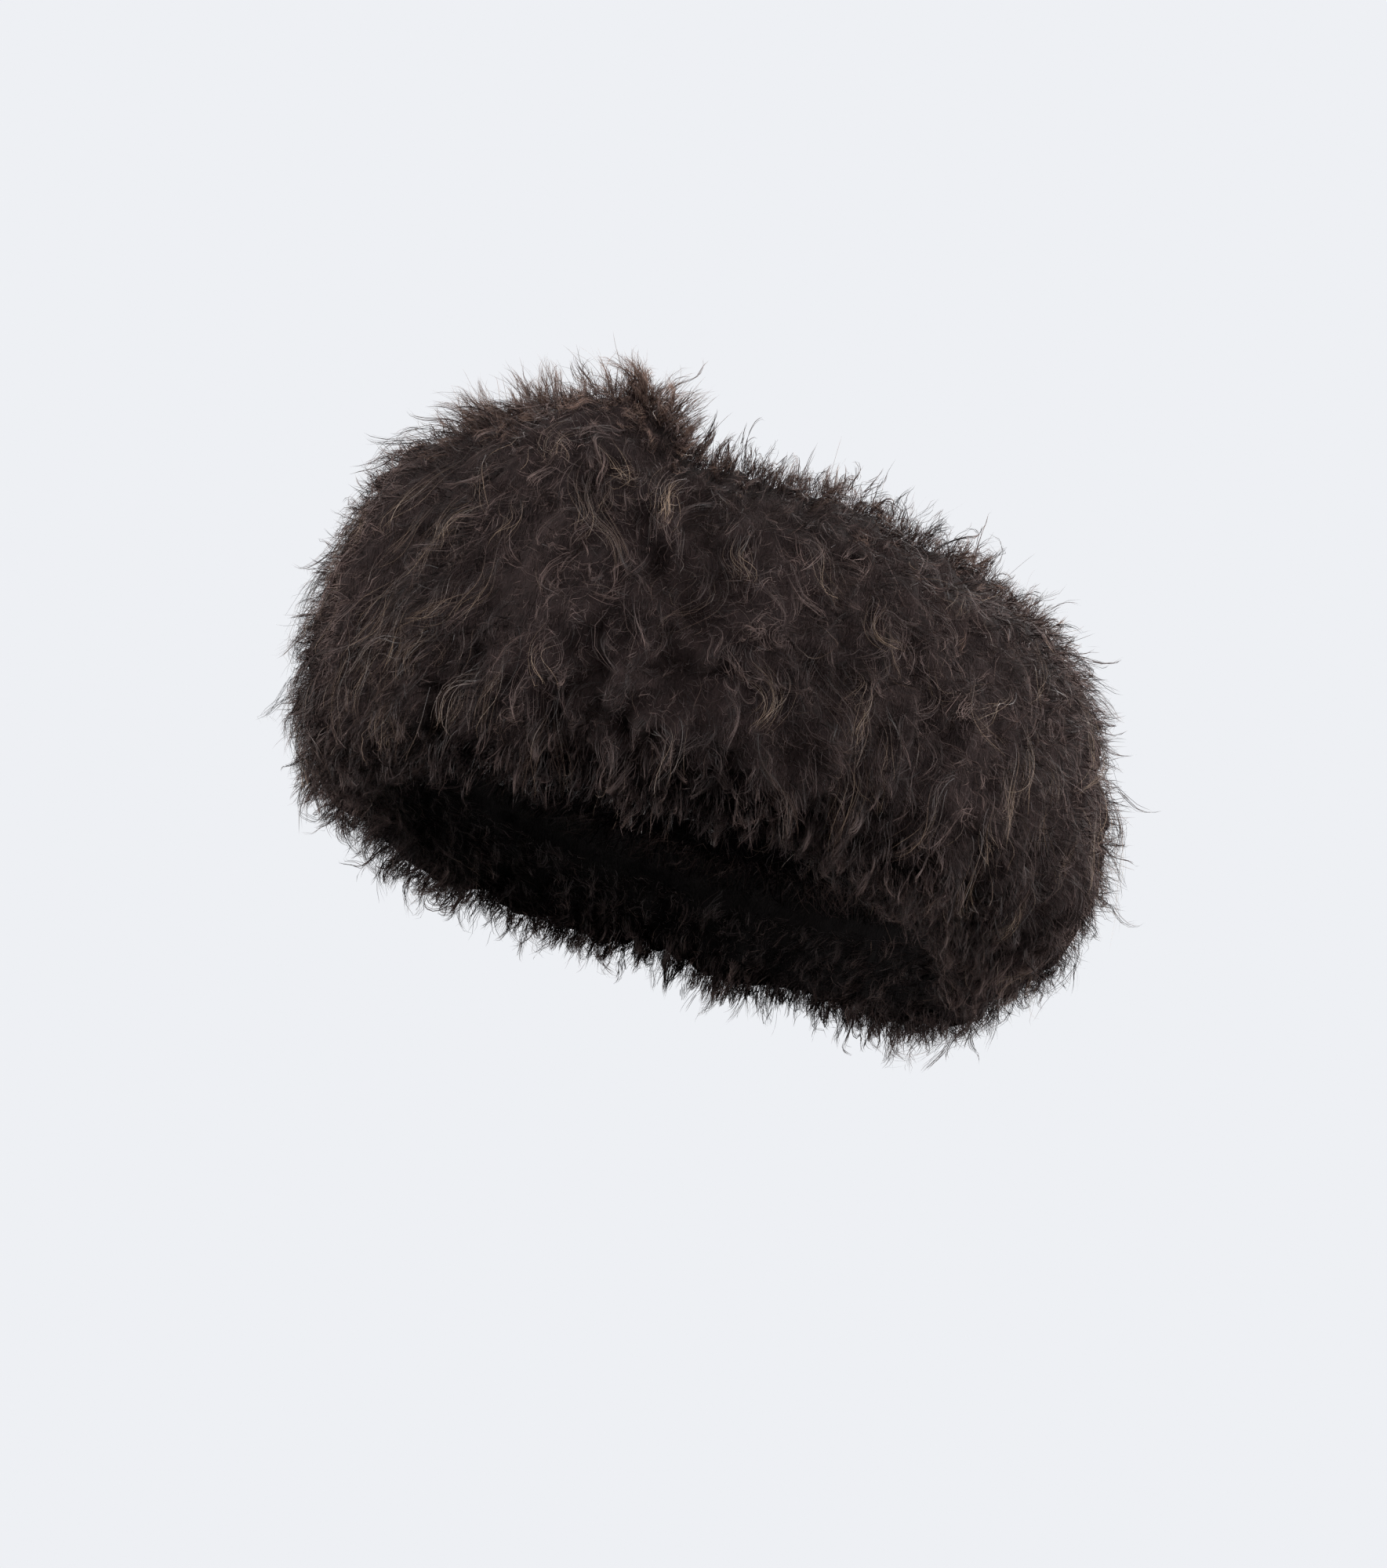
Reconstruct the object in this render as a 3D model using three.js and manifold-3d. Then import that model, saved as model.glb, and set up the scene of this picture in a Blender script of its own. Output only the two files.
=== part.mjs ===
// Shearling headband: a strip of sheepskin closed into a loop and worn round the head, long wool outside.
// Millimetres. +Z is up along the wearer's head and the front faces -Y.
// The origin is in the middle of the head opening, half way up the hide.

import * as THREE from "three";
import { ParametricGeometry } from "three/addons/geometries/ParametricGeometry.js";
import { mergeVertices } from "three/addons/utils/BufferGeometryUtils.js";
import Module from "manifold-3d";

const wasm = await Module();
wasm.setup();

// Head opening, to the inside of the hide at mid height
const HEAD_LENGTH = 194;
const HEAD_WIDTH = 154;

// Hide: a garment-weight skin that leans in towards the crown of the head
const HIDE_THICKNESS = 2;
const HIDE_LEAN = 0.07;

// Wool: it covers the outside and both rims, and turns a little way in over each rim
const WOOL_INSIDE = 7;
const WOOL_TURN_IN = 14;
const WOOL_LAST_LEVEL = 150;
const WOOL_SQUARENESS = 0.86;
const GAP = 0.3;

// The loop at each angle from the front (0) past the wearer's left (90) to the back (180).
// hideTop and hideBottom are the hide's rims. out, crest and hang are how far the wool stands off the hide,
// rises above its top rim and hangs below its bottom rim. flare sets its lower half out (+) or in (-).
const SECTIONS = [
  { angle: -150, hideTop: 30, hideBottom: -34, out: 23, crest: 8, hang: 16, flare: 0 },
  { angle: -105, hideTop: 32, hideBottom: -36, out: 23, crest: 8, hang: 18, flare: -2 },
  { angle: -60, hideTop: 35, hideBottom: -37, out: 25, crest: 0, hang: 13, flare: -2 },
  { angle: -24, hideTop: 40, hideBottom: -38, out: 25, crest: 7, hang: 9, flare: -1 },
  { angle: 6, hideTop: 43, hideBottom: -38, out: 26, crest: 14, hang: 9, flare: 0 },
  { angle: 20, hideTop: 41, hideBottom: -37, out: 26, crest: 4, hang: 9, flare: 1 },
  { angle: 38, hideTop: 38, hideBottom: -35, out: 25, crest: 7, hang: 9, flare: 2 },
  { angle: 49, hideTop: 36, hideBottom: -33, out: 26, crest: 11, hang: 9, flare: 3 },
  { angle: 78, hideTop: 33, hideBottom: -31, out: 28, crest: 13, hang: 10, flare: 6 },
  { angle: 115, hideTop: 31, hideBottom: -31, out: 27, crest: 15, hang: 11, flare: 10 },
  { angle: 153, hideTop: 30, hideBottom: -34, out: 23, crest: 8, hang: 20, flare: 1 },
  { angle: 175, hideTop: 29, hideBottom: -34, out: 23, crest: 8, hang: 17, flare: 1 },
];

// Rows of wool locks, laid over each other like shingles. from and to are a lock's root and tip, as levels
// round the wool's section: 90 on the crest, 0 outermost, -90 on the fringe. lift is how far the tip stands off.
const LOCK_ROWS = [
  { from: 58, to: 100, count: 20, width: 34, lift: 9 },
  { from: 82, to: 30, count: 20, width: 34, lift: 9 },
  { from: 48, to: -8, count: 21, width: 35, lift: 10 },
  { from: 10, to: -46, count: 21, width: 35, lift: 10 },
  { from: -26, to: -80, count: 21, width: 33, lift: 9 },
  { from: -60, to: -112, count: 21, width: 30, lift: 8 },
];
const LOCK_ROOT_DEPTH = 6;
const LOCK_FLATNESS = 0.42;
const LOCK_SIDES = 6;
const LOCK_SWAY = 13;
const LOCK_JITTER = 0.3;

// A lock's half width, as a share of its widest, at each share of its length
const LOCK_PROFILE = [
  { along: 0, girth: 0 },
  { along: 0.12, girth: 0.72 },
  { along: 0.45, girth: 1 },
  { along: 0.78, girth: 0.6 },
  { along: 1, girth: 0 },
];

// Mesh fineness
const SECTIONS_ROUND = 44;
const WOOL_STEPS = 12;
const HIDE_STEPS = 3;
const MERGE_WITHIN = 1e-4;

const radians = THREE.MathUtils.degToRad;

// A repeatable scatter value from -1 to 1 for two whole numbers
function scatter(i, k) {
  const wave = Math.sin(i * 127.1 + k * 311.7) * 43758.5453;
  return 2 * (wave - Math.floor(wave)) - 1;
}

// The SECTIONS values at any angle, eased from each row to the next
function sectionAt(angle) {
  const first = SECTIONS[0].angle;
  const turned = first + ((((angle - first) % 360) + 360) % 360);
  let k = SECTIONS.length - 1;
  while (SECTIONS[k].angle > turned) k -= 1;
  const from = SECTIONS[k];
  const to = SECTIONS[(k + 1) % SECTIONS.length];
  const span = (to.angle - from.angle + 360) % 360;
  const share = THREE.MathUtils.smoothstep((turned - from.angle) / span, 0, 1);
  const blend = (column) => THREE.MathUtils.lerp(from[column], to[column], share);
  return {
    hideTop: blend("hideTop"),
    hideBottom: blend("hideBottom"),
    out: blend("out"),
    crest: blend("crest"),
    hang: blend("hang"),
    flare: blend("flare"),
  };
}

// The point that lies `out` from the hide's inner face at this angle, at height `up`
function placeOnLoop(angle, out, up) {
  const t = radians(angle);
  const wayOut = new THREE.Vector3(Math.sin(t) / HEAD_WIDTH, -Math.cos(t) / HEAD_LENGTH, 0).normalize();
  const onOpening = new THREE.Vector3((HEAD_WIDTH / 2) * Math.sin(t), (-HEAD_LENGTH / 2) * Math.cos(t), up);
  return onOpening.addScaledVector(wayOut, out - HIDE_LEAN * up);
}

// A ring whose cross-section at each angle is the closed list of [out, up] that outline(angle) gives
function ringGeometry(outline) {
  const count = outline(0).length;
  const surface = (u, v, target) => {
    const angle = 360 * u;
    const [out, up] = outline(angle)[Math.round(v * count) % count];
    target.copy(placeOnLoop(angle % 360, out, up));
  };
  const geometry = new ParametricGeometry(surface, SECTIONS_ROUND, count);
  geometry.deleteAttribute("normal");
  geometry.deleteAttribute("uv");
  return mergeVertices(geometry, MERGE_WITHIN);
}

// The hide's cross-section, grown all round by `room`: up the outer face and down the inner one
function hideOutline(angle, room = 0) {
  const { hideTop, hideBottom } = sectionAt(angle);
  const heights = Array.from({ length: HIDE_STEPS + 1 }, (_, k) =>
    THREE.MathUtils.lerp(hideBottom - room, hideTop + room, k / HIDE_STEPS),
  );
  const outer = heights.map((up) => [HIDE_THICKNESS + room, up]);
  const inner = heights.reverse().map((up) => [-room, up]);
  return [...outer, ...inner];
}

// A point on the outside of the wool: level 90 is over the top rim, 0 outermost and -90 under the bottom rim.
// Past 90 either way it turns inside the loop.
function woolSkin(angle, level) {
  const { hideTop, hideBottom, out, crest, hang, flare } = sectionAt(angle);
  const middle = (hideTop + hideBottom) / 2;
  const c = Math.cos(radians(level));
  const s = Math.sin(radians(level));
  const rounded = (x) => Math.sign(x) * Math.abs(x) ** WOOL_SQUARENESS;
  const across = HIDE_THICKNESS / 2 + rounded(c) * (c > 0 ? out - flare * s : WOOL_INSIDE);
  const height = s > 0 ? hideTop + crest - middle : middle - hideBottom + hang;
  return [across, middle + rounded(s) * height];
}

// The wool's cross-section: round its outside, then back inside the hide's thickness
function woolOutline(angle) {
  const { hideTop, hideBottom } = sectionAt(angle);
  const skin = Array.from({ length: WOOL_STEPS + 1 }, (_, k) =>
    woolSkin(angle, THREE.MathUtils.lerp(-WOOL_LAST_LEVEL, WOOL_LAST_LEVEL, k / WOOL_STEPS)),
  );
  const middle = HIDE_THICKNESS / 2;
  return [...skin, [middle, hideTop - WOOL_TURN_IN], [middle, hideBottom + WOOL_TURN_IN]];
}

// A point at `lift` off the outside of the wool, square to the wool's section there
function offWool(angle, level, lift) {
  const step = 2;
  const [out, up] = woolSkin(angle, level);
  const [outBefore, upBefore] = woolSkin(angle, level - step);
  const [outAfter, upAfter] = woolSkin(angle, level + step);
  const run = Math.hypot(outAfter - outBefore, upAfter - upBefore);
  const outLifted = out + (lift * (upAfter - upBefore)) / run;
  const upLifted = up - (lift * (outAfter - outBefore)) / run;
  return placeOnLoop(angle, outLifted, upLifted);
}

// One flat tapered lock that follows the wool from its root, just under the surface, to its lifted tip
function lockGeometry(row, angle, reach, sway) {
  const profile = LOCK_PROFILE.map(({ along, girth }) => new THREE.Vector2((girth * row.width) / 2, along));
  const geometry = new THREE.LatheGeometry(profile, LOCK_SIDES);

  const side = Math.sign(row.to - row.from);
  const woolRadius = (HEAD_LENGTH + HEAD_WIDTH) / 4 + sectionAt(angle).out;
  const degreesPerMillimetre = THREE.MathUtils.radToDeg(1 / woolRadius);
  const place = geometry.getAttribute("position");
  const vertex = new THREE.Vector3();
  for (let i = 0; i < place.count; i += 1) {
    vertex.fromBufferAttribute(place, i);
    const along = vertex.y;
    const turned = angle + degreesPerMillimetre * (side * vertex.x + sway * along * along);
    const level = row.from + (row.to - row.from) * reach * along;
    const centre = THREE.MathUtils.lerp(-LOCK_ROOT_DEPTH, row.lift * reach, along);
    const moved = offWool(turned, level, centre + LOCK_FLATNESS * vertex.z);
    place.setXYZ(i, moved.x, moved.y, moved.z);
  }
  geometry.deleteAttribute("normal");
  geometry.deleteAttribute("uv");
  return mergeVertices(geometry, MERGE_WITHIN);
}

// Every lock, row by row, each row set half a step round from the one above
function woolLocks() {
  return LOCK_ROWS.flatMap((row, r) =>
    Array.from({ length: row.count }, (_, k) => {
      const angle = (360 / row.count) * (k + (r % 2) / 2 + LOCK_JITTER * scatter(k, r));
      const reach = 1 + LOCK_JITTER * scatter(k, r + 10);
      return lockGeometry(row, angle, reach, LOCK_SWAY * scatter(k, r + 20));
    }),
  );
}

// A geometry as a manifold solid, and back
function solidOf(geometry) {
  const vertProperties = new Float32Array(geometry.getAttribute("position").array);
  const triVerts = new Uint32Array(geometry.index.array);
  return new wasm.Manifold(new wasm.Mesh({ numProp: 3, vertProperties, triVerts }));
}

function geometryOf(solid) {
  const { vertProperties, triVerts } = solid.getMesh();
  const geometry = new THREE.BufferGeometry();
  geometry.setAttribute("position", new THREE.BufferAttribute(vertProperties, 3));
  geometry.setIndex(new THREE.BufferAttribute(triVerts, 1));
  return geometry;
}

function hideBand() {
  const suede = new THREE.MeshStandardMaterial({ color: 0x3a2b24, roughness: 0.9, metalness: 0 });
  const mesh = new THREE.Mesh(ringGeometry(hideOutline), suede);
  mesh.name = "hide_band";
  return mesh;
}

function woolPile() {
  const wool = new THREE.MeshStandardMaterial({ color: 0x2f2827, roughness: 0.95, metalness: 0 });
  const backing = solidOf(ringGeometry(woolOutline));
  const locks = woolLocks().map(solidOf);
  const hideRoom = solidOf(ringGeometry((angle) => hideOutline(angle, GAP)));
  const pile = wasm.Manifold.union([backing, ...locks]).subtract(hideRoom);
  const mesh = new THREE.Mesh(geometryOf(pile), wool);
  mesh.name = "wool_pile";
  return mesh;
}

const headband = new THREE.Group();
headband.add(hideBand(), woolPile());

export default headband;
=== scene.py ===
import math

import bpy
import numpy as np
from mathutils import Matrix, Vector


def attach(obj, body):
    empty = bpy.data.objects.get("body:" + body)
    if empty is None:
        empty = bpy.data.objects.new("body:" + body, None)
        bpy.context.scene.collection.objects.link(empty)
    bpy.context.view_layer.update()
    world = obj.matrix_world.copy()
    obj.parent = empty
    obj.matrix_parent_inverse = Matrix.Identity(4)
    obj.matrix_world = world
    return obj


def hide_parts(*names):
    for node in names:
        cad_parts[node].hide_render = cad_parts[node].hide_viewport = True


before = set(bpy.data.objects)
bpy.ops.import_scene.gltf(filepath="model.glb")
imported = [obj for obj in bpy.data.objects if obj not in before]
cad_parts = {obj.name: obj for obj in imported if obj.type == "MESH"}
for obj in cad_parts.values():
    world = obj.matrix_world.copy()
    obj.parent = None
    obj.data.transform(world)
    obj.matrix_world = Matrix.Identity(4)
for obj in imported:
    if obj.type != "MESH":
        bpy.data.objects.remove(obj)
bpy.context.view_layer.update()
print("frame loaded:", sorted(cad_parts))

mm = 0.001
rng = np.random.default_rng(41)


# The loop, in metres and degrees. Angles start at the front (0) and go round by the wearer's left (90).
loop = dict(
    headLength=0.194, headWidth=0.154,      # inside the hide at mid height
    hideThick=0.002, lean=0.07,             # the hide leans in towards the crown
    woolInside=0.007, squareness=0.86,      # the wool's section
    lastLevel=150.0,                        # how far it turns in over each rim
    gridRound=360, gridAlong=160,
    fineAlong=601,                          # levels at which the section's arc is measured
)

# at each angle, in millimetres: the hide's rims, and how far the wool stands out, rises over the top, hangs
# below and flares
sections = dict(
    angle=[-150, -105, -60, -24, 6, 20, 38, 49, 78, 115, 153, 175],
    hideTop=[30, 32, 35, 40, 43, 41, 38, 36, 33, 31, 30, 29],
    hideBottom=[-34, -36, -37, -38, -38, -37, -35, -33, -31, -31, -34, -34],
    out=[23, 23, 25, 25, 26, 26, 25, 26, 28, 27, 23, 23],
    crest=[8, 8, 0, 7, 14, 4, 7, 11, 13, 15, 8, 8],
    hang=[16, 18, 13, 9, 9, 9, 9, 9, 10, 11, 20, 17],
    flare=[0, -2, -2, -1, 0, 1, 2, 3, 6, 10, 1, 1],
)


# A column of the sections at any angle: eased from each row to the next by 3t^2 - 2t^3
def sectionAt(theta, column):
    angles = np.array(sections["angle"], float)
    values = np.array(sections[column], float) * mm
    turned = angles[0] + np.mod(theta - angles[0], 360.0)
    row = np.searchsorted(angles, turned, side="right") - 1
    after = np.append(angles[1:], angles[0] + 360.0)[row]
    share = (turned - angles[row]) / (after - angles[row])
    share = share * share * (3 - 2 * share)
    return values[row] * (1 - share) + np.roll(values, -1)[row] * share


# Ellipse of the head opening pushed outwards along its own normal by out, less the lean times the height
def placeOnLoop(theta, out, up):
    t = np.radians(theta)
    wayX, wayY = np.sin(t) / loop["headWidth"], -np.cos(t) / loop["headLength"]
    size = np.hypot(wayX, wayY)
    push = out - loop["lean"] * up
    x = loop["headWidth"] / 2 * np.sin(t) + push * wayX / size
    y = -loop["headLength"] / 2 * np.cos(t) + push * wayY / size
    return np.stack([x, y, up], axis=-1)


# Angles round the loop in equal steps
def anglesRound(count):
    return np.linspace(0, 360, count, endpoint=False)


# An angle as the short way round, from -180 to 180
def shortWay(angle):
    return np.mod(angle + 180, 360) - 180


# Wool section: a superellipse, cos and sin of the level each to the squareness, about the hide's middle
def woolSkin(theta, level):
    top, bottom = sectionAt(theta, "hideTop"), sectionAt(theta, "hideBottom")
    middle = (top + bottom) / 2
    c, s = np.cos(np.radians(level)), np.sin(np.radians(level))
    roundedC = np.sign(c) * np.abs(c) ** loop["squareness"]
    roundedS = np.sign(s) * np.abs(s) ** loop["squareness"]
    outside = sectionAt(theta, "out") - sectionAt(theta, "flare") * s
    reach = np.where(c > 0, outside, loop["woolInside"])
    above = top + sectionAt(theta, "crest") - middle
    below = middle - bottom + sectionAt(theta, "hang")
    height = np.where(s > 0, above, below)
    return loop["hideThick"] / 2 + roundedC * reach, middle + roundedS * height


# A grid of points with what they give: normals square to the ways round and along, and the length of a degree
def gridOf(points, levels, length):
    roundWay = np.roll(points, -1, axis=0) - np.roll(points, 1, axis=0)
    normals = np.cross(roundWay, np.gradient(points, axis=1))
    normals /= np.linalg.norm(normals, axis=2, keepdims=True)
    perDegree = np.linalg.norm(roundWay, axis=2) / 2 / (360.0 / loop["gridRound"])
    length = np.repeat(length[:, None], loop["gridAlong"], axis=1)
    return dict(points=points, normals=normals, levels=levels, length=length, perDegree=perDegree)


# The wool's outside as a grid: rows go round, columns go along the section in equal steps of its arc
def skinGrid():
    theta = anglesRound(loop["gridRound"])
    fine = np.linspace(-loop["lastLevel"], loop["lastLevel"], loop["fineAlong"])
    t, level = np.meshgrid(theta, fine, indexing="ij")
    points = placeOnLoop(t, *woolSkin(t, level))
    step = np.linalg.norm(np.diff(points, axis=1), axis=2)
    arc = np.concatenate([np.zeros((len(theta), 1)), np.cumsum(step, axis=1)], axis=1)
    length = arc[:, -1]
    # every row has its own even numbers, so one interpolation serves them all
    rowBase = 2.0 * np.arange(len(theta))[:, None]
    wanted = rowBase + np.linspace(0, 1, loop["gridAlong"])[None, :]
    have = rowBase + arc / length[:, None]
    levels = np.interp(wanted.ravel(), have.ravel(), level.ravel()).reshape(wanted.shape)
    t = np.repeat(theta[:, None], loop["gridAlong"], axis=1)
    return gridOf(placeOnLoop(t, *woolSkin(t, levels)), levels, length)


skin = skinGrid()
print("wool section runs", round(float(skin["length"].mean() / mm)), "mm")


# Bilinear look-up of a grid at any angle and share of the section
def fromGrid(grid, theta, share):
    i = np.mod(theta, 360.0) / 360.0 * loop["gridRound"]
    j = np.clip(share, 0, 1) * (loop["gridAlong"] - 1)
    i0 = np.floor(i).astype(int) % loop["gridRound"]
    j0 = np.minimum(np.floor(j).astype(int), loop["gridAlong"] - 2)
    i1 = (i0 + 1) % loop["gridRound"]
    fi, fj = i - np.floor(i), j - j0
    if grid.ndim == 3:
        fi, fj = fi[..., None], fj[..., None]
    low = grid[i0, j0] * (1 - fj) + grid[i0, j0 + 1] * fj
    high = grid[i1, j0] * (1 - fj) + grid[i1, j0 + 1] * fj
    return low * (1 - fi) + high * fi


# drifts over the wool: how it turns, its tone, the rolls of the whole fleece and its roughness
drifts = dict(
    turn=dict(seed=11, waves=9, fineness=7), fineTurn=dict(seed=12, waves=12, fineness=22),
    tone=dict(seed=21, waves=9, fineness=6), fineTone=dict(seed=22, waves=16, fineness=36),
    roll=dict(seed=23, waves=12, fineness=13), rough=dict(seed=24, waves=24, fineness=60),
)
# most turns of a wave: round the loop, times the fineness, and along the section, as a part of it
driftTurns = dict(roundTimes=2, alongPart=5)


# Smooth drift over the wool, mostly between -1 and 1: a sum of sine waves, whole numbers of them round the
# loop, divided by the root of twice their number
def drift(theta, share, kind):
    seed, waves, fineness = (drifts[kind][name] for name in ("seed", "waves", "fineness"))
    own = np.random.default_rng(seed)
    total = 0.0
    for _ in range(waves):
        roundTurns = own.integers(1, fineness * driftTurns["roundTimes"])
        most = fineness / driftTurns["alongPart"]
        alongTurns = own.uniform(-most, most)
        phase = own.uniform(0, 2 * np.pi)
        total = total + np.sin(np.radians(theta) * roundTurns + 2 * np.pi * alongTurns * share + phase)
    return total / math.sqrt(waves / 2) / 2


# hollows and swellings of the whole fleece
roll = dict(depth=0.0030, endPower=0.5)


# The fleece rolls: the skin moves out and in with a drift, less and less towards its edges, by the root of a
# half
# sine. The same drift paints its tone: painted shade in the hollows, painted light on the swellings
def rollSkin():
    theta = anglesRound(loop["gridRound"])[:, None]
    share = np.linspace(0, 1, loop["gridAlong"])[None, :]
    ease = np.sin(np.pi * share) ** roll["endPower"]
    out = roll["depth"] * ease * drift(theta, share, "roll")
    skin["points"] = skin["points"] + skin["normals"] * out[..., None]


rollSkin()


# A new object in the scene
def newObject(name, data):
    made = bpy.data.objects.new(name, data)
    bpy.context.scene.collection.objects.link(made)
    return made


# A mesh from arrays of points and faces of equal size, smooth, with a UV for every face corner and, where
# given, a point attribute of painted shade
def meshPiece(name, points, faces, cornerUv, material, paintedShade=None):
    mesh = bpy.data.meshes.new(name)
    corners = faces.shape[1]
    mesh.vertices.add(len(points))
    mesh.vertices.foreach_set("co", points.astype(np.float32).ravel())
    mesh.loops.add(faces.size)
    mesh.loops.foreach_set("vertex_index", faces.astype(np.int32).ravel())
    mesh.polygons.add(len(faces))
    mesh.polygons.foreach_set("loop_start", np.arange(0, faces.size, corners, dtype=np.int32))
    mesh.polygons.foreach_set("use_smooth", np.ones(len(faces), bool))
    layer = mesh.uv_layers.new(name="OFBake")
    layer.data.foreach_set("uv", cornerUv.astype(np.float32).ravel())
    if paintedShade is not None:
        mesh.attributes.new("paintedShade", "FLOAT", "POINT").data.foreach_set("value", paintedShade.ravel())
    mesh.update(calc_edges=True)
    mesh.validate()
    mesh.materials.append(material)
    piece = newObject(name, mesh)
    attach(piece, "root")
    return piece


# Quads of a grid closed both ways round, and their UV corners: rows across, columns up
def gridFaces(rows, columns):
    i, j = np.meshgrid(np.arange(rows), np.arange(columns), indexing="ij")
    nextI, nextJ = (i + 1) % rows, (j + 1) % columns
    quads = [i * columns + j, nextI * columns + j, nextI * columns + nextJ, i * columns + nextJ]
    u = np.stack([i, i + 1, i + 1, i], axis=-1) / rows
    v = np.stack([j, j, j + 1, j + 1], axis=-1) / columns
    return np.stack(quads, axis=-1).reshape(-1, 4), np.stack([u, v], axis=-1)


# Materials

# the woolShade group's colour sockets, and the names that a look has for them
shadeEnds = {"Dark Root": "darkRoot", "Dark Tip": "darkTip", "Pale Root": "paleRoot", "Pale Tip": "paleTip"}
bleached = dict(start=0.05, full=0.85)              # shares of a fibre between which its tip is bleached
mottled = dict(detail=4, half=0.5, start=0.3, full=0.7)     # start and full: the span of noise that is used


# A group's socket, made by name
def socket(tree, name, kind, goesIn=True):
    tree.interface.new_socket(name=name, in_out="INPUT" if goesIn else "OUTPUT", socket_type=kind)


# A node that mixes two colours
def colourMix(nodes):
    mix = nodes.new("ShaderNodeMix")
    mix.data_type = "RGBA"
    return mix


# Wool colour: root to tip along a fibre, each end between a dark and a pale shade by the fibre's tone
def woolShadeGroup():
    tree = bpy.data.node_groups.new("woolShade", "ShaderNodeTree")
    for name in ("Tone", "Along"):
        socket(tree, name, "NodeSocketFloat")
    for name in shadeEnds:
        socket(tree, name, "NodeSocketColor")
    socket(tree, "Color", "NodeSocketColor", goesIn=False)
    nodes, links = tree.nodes, tree.links
    given, result = nodes.new("NodeGroupInput"), nodes.new("NodeGroupOutput")
    bleach = nodes.new("ShaderNodeMapRange")          # tips are bleached, roots stay dark
    bleach.interpolation_type = "SMOOTHSTEP"
    bleach.inputs["From Min"].default_value = bleached["start"]
    bleach.inputs["From Max"].default_value = bleached["full"]
    links.new(given.outputs["Along"], bleach.inputs["Value"])
    ends = []
    for tone in ("Dark", "Pale"):
        mix = colourMix(nodes)
        links.new(bleach.outputs["Result"], mix.inputs["Factor"])
        links.new(given.outputs[tone + " Root"], mix.inputs["A"])
        links.new(given.outputs[tone + " Tip"], mix.inputs["B"])
        ends.append(mix)
    both = colourMix(nodes)
    links.new(given.outputs["Tone"], both.inputs["Factor"])
    links.new(ends[0].outputs["Result"], both.inputs["A"])
    links.new(ends[1].outputs["Result"], both.inputs["B"])
    links.new(both.outputs["Result"], result.inputs["Color"])
    return tree


# Uneven tone over a surface: the mean of two sizes of noise on Object coordinates, spread out, the fine one
# swirled and drawn out upwards, as hair lies
def mottleGroup():
    tree = bpy.data.node_groups.new("mottle", "ShaderNodeTree")
    for name in ("Coarse Scale", "Fine Scale", "Swirl", "Upright Scale"):
        socket(tree, name, "NodeSocketFloat")
    for name in ("Tone", "Nap"):
        socket(tree, name, "NodeSocketFloat", goesIn=False)
    nodes, links = tree.nodes, tree.links
    given, result = nodes.new("NodeGroupInput"), nodes.new("NodeGroupOutput")
    place = nodes.new("ShaderNodeTexCoord")
    noises = []
    for scale in ("Coarse Scale", "Fine Scale"):
        noise = nodes.new("ShaderNodeTexNoise")
        noise.inputs["Detail"].default_value = mottled["detail"]
        links.new(place.outputs["Object"], noise.inputs["Vector"])
        links.new(given.outputs[scale], noise.inputs["Scale"])
        noises.append(noise)
    links.new(given.outputs["Swirl"], noises[1].inputs["Distortion"])
    scales = nodes.new("ShaderNodeCombineXYZ")
    scales.inputs["X"].default_value = 1
    scales.inputs["Y"].default_value = 1
    links.new(given.outputs["Upright Scale"], scales.inputs["Z"])
    drawn = nodes.new("ShaderNodeVectorMath")
    drawn.operation = "MULTIPLY"
    links.new(place.outputs["Object"], drawn.inputs[0])
    links.new(scales.outputs["Vector"], drawn.inputs[1])
    links.new(drawn.outputs["Vector"], noises[1].inputs["Vector"])
    half = nodes.new("ShaderNodeMath")
    half.operation = "MULTIPLY"
    half.inputs[1].default_value = mottled["half"]
    links.new(noises[0].outputs["Fac"], half.inputs[0])
    mean = nodes.new("ShaderNodeMath")
    mean.operation = "MULTIPLY_ADD"
    mean.inputs[1].default_value = mottled["half"]
    links.new(noises[1].outputs["Fac"], mean.inputs[0])
    links.new(half.outputs["Value"], mean.inputs[2])
    stretch = nodes.new("ShaderNodeMapRange")         # noise stays near its middle, so it is spread out
    stretch.inputs["From Min"].default_value = mottled["start"]
    stretch.inputs["From Max"].default_value = mottled["full"]
    links.new(mean.outputs["Value"], stretch.inputs["Value"])
    links.new(stretch.outputs["Result"], result.inputs["Tone"])
    links.new(noises[1].outputs["Fac"], result.inputs["Nap"])
    return tree


woolShade = woolShadeGroup()
mottle = mottleGroup()


# A new material with its nodes, its links and its Principled shader
def emptyMaterial(name):
    material = bpy.data.materials.new(name)
    material.use_nodes = True
    tree = material.node_tree
    return material, tree.nodes, tree.links, tree.nodes["Principled BSDF"]


# Fibres: colour from the woolShade group by the fibre's own UV (tone across, root to tip along)
def fibreMaterial(name, look):
    material, nodes, links, shader = emptyMaterial(name)
    place = nodes.new("ShaderNodeUVMap")
    place.uv_map = "OFBake"
    split = nodes.new("ShaderNodeSeparateXYZ")
    links.new(place.outputs["UV"], split.inputs["Vector"])
    shade = nodes.new("ShaderNodeGroup")
    shade.node_tree = woolShade
    links.new(split.outputs["X"], shade.inputs["Tone"])
    links.new(split.outputs["Y"], shade.inputs["Along"])
    for end, shadeName in shadeEnds.items():
        shade.inputs[end].default_value = (*look[shadeName], 1)
    links.new(shade.outputs["Color"], shader.inputs["Base Color"])
    shader.inputs["Roughness"].default_value = look["roughness"]
    shader.inputs["Specular IOR Level"].default_value = look["specular"]
    return material
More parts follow.
